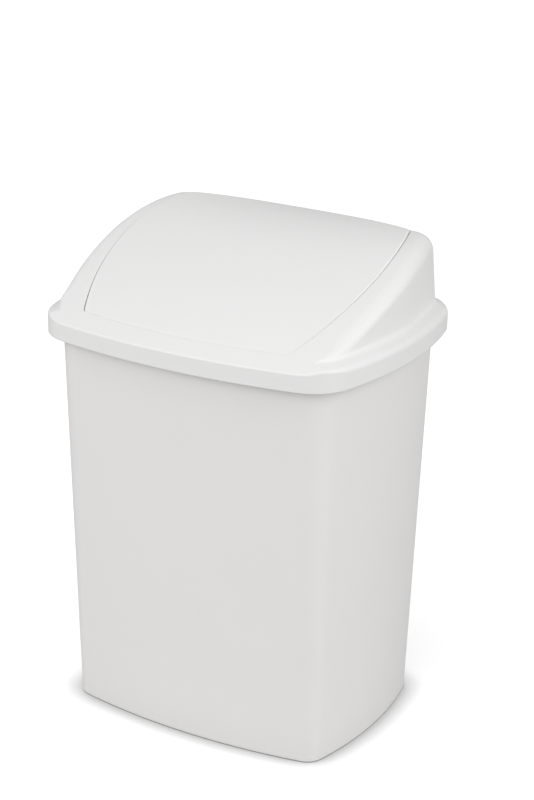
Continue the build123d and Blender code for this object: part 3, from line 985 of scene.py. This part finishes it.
hood = new_piece("hood", hood_shells)
seat_line = SKIRT.grown(-HOOD_WALL / 2)
seat_z = BODY_TOP + SEAT_CLEARANCE
for name, (height, climb), faces in (
    ("front_seat_ribs", FRONT_RIB, {"sides": (), "ends": (-1,)}),
    ("back_seat_ribs", SIDE_RIB, {"sides": (-1, 1), "ends": (1,)}),
):
    places = seats(seat_line, SEAT_RIB_SPACING, **faces)
    take_in(hood, ribs_on(
        name, places, seat_z, SEAT_RIB_THICKNESS, SEAT_RIB_REACH, height, climb, hood_plastic
    ))
finish(hood, hood_plastic)

# %% [markdown]
# ## The flap
# The flap is a flat panel bent onto the same arch, with a flange round its underside and ribs from front to
# back. It is made flat, with its depth under the arch as its height, and a geometry tree adds the ribs and
# lifts every point onto the arch by the same sum as above, now written on node sockets. The finished flap is
# tilted a touch, because its back edge rests on the nubs a little proud of the hood.

# %% The flat flap
FLANGE_BACK_CLEARANCE = 2.5
FLAP_EDGE_ROUNDING = 0.9
FLANGE_SETBACK = 0.05
FLAP_MIDDLE = np.array([0.0, -8.0])
FLAP_RIM = 4.0
FLAP_RINGS = 34
EDGE_RINGS = (1.7, 2.7)
LIP_SHARES = (0.33, 0.67, 1)
FLANGE_LEVELS = 4

flange_sizes = FLAP.grown(-FLANGE_SETBACK).sizes
flange_sizes[2] = shelf_front - FLANGE_BACK_CLEARANCE
FLANGE = Outline(*flange_sizes)


def flap_rings():
    """The flap laid flat, from the middle of its underside, round the flange, to the middle on top."""
    outline, outer = FLAP.ring()[0], FLANGE.ring()[0]
    inner = FLANGE.grown(-FLANGE_THICKNESS).ring()[0]
    border = FLAP.grown(-FLAP_RIM).ring()[0]
    depths = np.linspace(-FLAP_THICKNESS, -FLANGE_DEPTH, FLANGE_LEVELS)[1:]
    shares = np.linspace(0, 1, FLAP_RINGS)[1:]
    rings = [np.array([*FLAP_MIDDLE, -FLAP_THICKNESS])]
    rings += [at_level(FLAP_MIDDLE + (inner - FLAP_MIDDLE) * share, -FLAP_THICKNESS) for share in shares]
    rings += [at_level(inner, z) for z in depths] + [at_level(outer, z) for z in (-FLANGE_DEPTH, -FLAP_LIP)]
    rings += [at_level(outer + (outline - outer) * share, -FLAP_LIP) for share in LIP_SHARES]
    for inwards, down in quarter(FLAP_EDGE_ROUNDING)[::-1]:
        rings.append(at_level(FLAP.grown(-inwards).ring()[0], -down))
    rings += [at_level(FLAP.grown(-inset).ring()[0], 0) for inset in EDGE_RINGS]
    rings += [at_level(FLAP_MIDDLE + (border - FLAP_MIDDLE) * share, 0) for share in shares[::-1]]
    return rings + [np.array([*FLAP_MIDDLE, 0])]


flap = new_piece("flap", [stacked(flap_rings())])

# %% The tree that bends the flap
RIB_POINTS = 60

flap_tree, graph, ask = new_tree("bend_onto_arch", {
    "Bow centre": "Float", "Slope radius": "Float", "Slope centre": "Vector", "Crest radius": "Float",
    "Crest centre": "Vector", "Join lean": "Float", "Rib count": "Int", "Rib spacing": "Float",
    "Rib size": "Vector", "Rib middle": "Vector", "Material": "Material",
})


def parts_of(vector):
    """The X, Y and Z of a vector signal."""
    first = graph.make("ShaderNodeSeparateXYZ", {0: vector})
    return first, first.beside("Y"), first.beside("Z")


first_x = (ask["Rib count"] - 1) * ask["Rib spacing"] * -0.5
first_rib, step = graph.vector(first_x), graph.vector(ask["Rib spacing"])
row_places = {"Count": ask["Rib count"], "Start Location": first_rib, "Offset": step}
row = graph.make("GeometryNodeMeshLine", row_places, {"mode": "OFFSET"})
strip = graph.make("GeometryNodeMeshCube", {"Size": ask["Rib size"], "Vertices Y": RIB_POINTS})
strip = graph.make("GeometryNodeSetPosition", {"Geometry": strip, "Offset": ask["Rib middle"]})
strips = graph.make("GeometryNodeInstanceOnPoints", {"Points": row, "Instance": strip})
strips = graph.make("GeometryNodeRealizeInstances", {"Geometry": strips})
flat = graph.make("GeometryNodeJoinGeometry", {"Geometry": ask["Geometry"]})
flap_tree.links.new(strips.socket, flat.socket.node.inputs["Geometry"])

across, along, height = parts_of(graph.make("GeometryNodeInputPosition"))
to_axis = ask["Bow centre"] - along
start = ask["Bow centre"] - graph.math("SQRT", across * across + to_axis * to_axis)


def arc_height(radius, centre):
    """How high an arc of the arch is at each point, with the point's own height square to it."""
    _, centre_y, centre_z = parts_of(centre)
    arm, ahead = radius + height, start - centre_y
    return centre_z + graph.math("SQRT", arm * arm - ahead * ahead)


_, crest_y, _ = parts_of(ask["Crest centre"])
on_slope = graph.math("LESS_THAN", start, crest_y - (ask["Crest radius"] + height) * ask["Join lean"])
slope = arc_height(ask["Slope radius"], ask["Slope centre"])
crest = arc_height(ask["Crest radius"], ask["Crest centre"])
lifted = on_slope * slope + (1.0 - on_slope) * crest
bent_place = graph.vector(across, along, lifted)
bent = graph.make("GeometryNodeSetPosition", {"Geometry": flat, "Position": bent_place})
graph.hand_out(bent, ask["Material"])

# %% Bend it
FLAP_RIB_COUNT = 3
FLAP_RIB_SPACING = 66.0
rib_low_y = FLANGE_THICKNESS - FLANGE.front
rib_high_y = FLANGE.back - FLANGE_THICKNESS
rib_depths = (FLAP_THICKNESS / 2, FLANGE_DEPTH)
strip_size = (FLANGE_THICKNESS * MM, (rib_high_y - rib_low_y) * MM, (rib_depths[1] - rib_depths[0]) * MM)
run_tree(flap, flap_tree, {
    "Bow centre": BOW_CENTRE * MM,
    "Slope radius": SLOPE_RADIUS * MM,
    "Slope centre": (0.0, slope_centre[0] * MM, slope_centre[1] * MM),
    "Crest radius": CREST_RADIUS * MM,
    "Crest centre": (0.0, crest_centre[0] * MM, crest_centre[1] * MM),
    "Join lean": sin(CREST_TURN),
    "Rib count": FLAP_RIB_COUNT,
    "Rib spacing": FLAP_RIB_SPACING * MM,
    "Rib size": strip_size,
    "Rib middle": (0.0, (rib_high_y + rib_low_y) / 2 * MM, -sum(rib_depths) / 2 * MM),
    "Material": flap_plastic,
})
print("the flap's ribs are", round(rib_high_y - rib_low_y), "mm long")

# %% [markdown]
# ## Ears and pins
# An ear hangs inside the flange on each side, and a pin goes out from it into the bearing. They are drawn in
# place and turned with the flap about the pivot.

# %% Ears and pins of the flap
flap_x = FLAP.side_x(pivot.y)
ear_inner_x = flap_x - FLANGE_INSET - EAR_THICKNESS
pin_end_x = opening_x + LUG_THICKNESS - PIN_END_CLEARANCE
ear_top = pivot.z + pivot_drop - FLAP_THICKNESS
ear_outline = capsule((pivot.y, pivot.z), (pivot.y, pivot.z), EAR_RADIUS)
ear_outline = [(y, z if z < pivot.z else ear_top + (y - pivot.y) * tan(pivot_turn)) for y, z in ear_outline]
hinge_shells = [plate(ear_outline, *span) for span in both_sides(ear_inner_x, flap_x - FLANGE_INSET)]
hinge_shells += rods_across(ear_inner_x, pin_end_x, pivot.yz, PIN_RADIUS)
take_in(flap, new_piece("hinge_pins", hinge_shells))
pivot_place = Matrix.Translation(pivot * MM)
flap.data.transform(pivot_place @ Matrix.Rotation(REST_TILT, 4, "X") @ pivot_place.inverted())
finish(flap, flap_plastic)

# %% [markdown]
# ## Bodies
# Each drawn moulding stands for its CAD node, which is hidden, and rides on that node's body.

# %% Hand the pieces over
for piece, node, ride_on, slot in (
    (body, "bin_body", "bin", "body_plastic"),
    (hood, "lid_hood", "hood", "hood_plastic"),
    (flap, "swing_flap", "flap", "flap_plastic"),
):
    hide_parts(node)
    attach(piece, ride_on)

# %% [markdown]
# ## The studio
# The picture was lit by large soft lights in front, at the left and at the right, in a white room that fills
# the shadows. A sun lamp with a wide angle is such a light: it falls off nowhere, and its shadows are soft.
# The first angles and strengths came from rendering each light alone and mixing the pictures, and the tones
# of the photograph then trimmed them. The camera sees a white world, and the bin only a weaker filling light.

# %% Lights
SOFTBOX_SPREAD = radians(60)
# Each light's angle round from the front, its angle above the floor, and its strength.
SOFTBOXES = {"front": (0, 12, 1.5), "left": (-50, 32, 0.9), "right": (100, 16, 1.92)}
FILL = 0.38

for name, (around, above, strength) in SOFTBOXES.items():
    lamp = bpy.data.lights.new(name, "SUN")
    lamp.energy = strength
    lamp.angle = SOFTBOX_SPREAD
    softbox = bpy.data.objects.new(name, lamp)
    softbox.rotation_euler = (radians(90 - above), 0, radians(around))
    scene.collection.objects.link(softbox)

world = bpy.data.worlds.new("studio")
graph = blank_graph(world)
seen = graph.make("ShaderNodeLightPath").beside("Is Camera Ray")
brightness = graph.math("MAXIMUM", seen, FILL)
backdrop = graph.make("ShaderNodeBackground", {"Color": (1, 1, 1, 1), "Strength": brightness})
graph.make("ShaderNodeOutputWorld", {"Surface": backdrop})
scene.world = world
scene.view_settings.view_transform = "Standard"
print(len(SOFTBOXES), "soft lights in a white room")

# %% [markdown]
# ## The floor
# The floor is white paper that runs on into the background, so what the camera sees of it has a little light
# of its own. With light from three sides the bin's shadow is faint, so a painted shadow also darkens the
# paper close under things, which draws the line of contact along the foot. The light that it throws back is
# that of a greyer sheet, because white paper made the foot of the bin brighter than it is in the photograph.

# %% Floor
FLOOR_SIDE = 30
PAPER = 0.97
PAPER_BOUNCE = 0.34
PAPER_GLOW = 0.4
# How far from other things the painted contact shadow reaches, in millimetres.
CONTACT_REACH = 26.0

bpy.ops.mesh.primitive_plane_add(size=FLOOR_SIDE)
floor = bpy.context.object
floor.name = "floor"
paper = bpy.data.materials.new("floor_paper")
graph = blank_graph(paper)
white = {"Color": (PAPER, PAPER, PAPER, 1), "Distance": CONTACT_REACH * MM}
# Painted shadow: ambient occlusion darkens the paper's colour and its glow close under other things.
near = graph.make("ShaderNodeAmbientOcclusion", white)
sheet = graph.make("ShaderNodeBsdfDiffuse", {"Color": near})
glow = graph.make("ShaderNodeEmission", {"Color": near, "Strength": PAPER_GLOW})
paper_with_painted_shadow = graph.make("ShaderNodeAddShader", {0: sheet, 1: glow})
grey = (PAPER_BOUNCE, PAPER_BOUNCE, PAPER_BOUNCE, 1)
bounce = graph.make("ShaderNodeBsdfDiffuse", {"Color": grey})
seen = graph.make("ShaderNodeLightPath").beside("Is Camera Ray")
surface = graph.make("ShaderNodeMixShader", {0: seen, 1: bounce, 2: paper_with_painted_shadow})
graph.make("ShaderNodeOutputMaterial", {"Surface": surface})
floor.data.materials.append(paper)
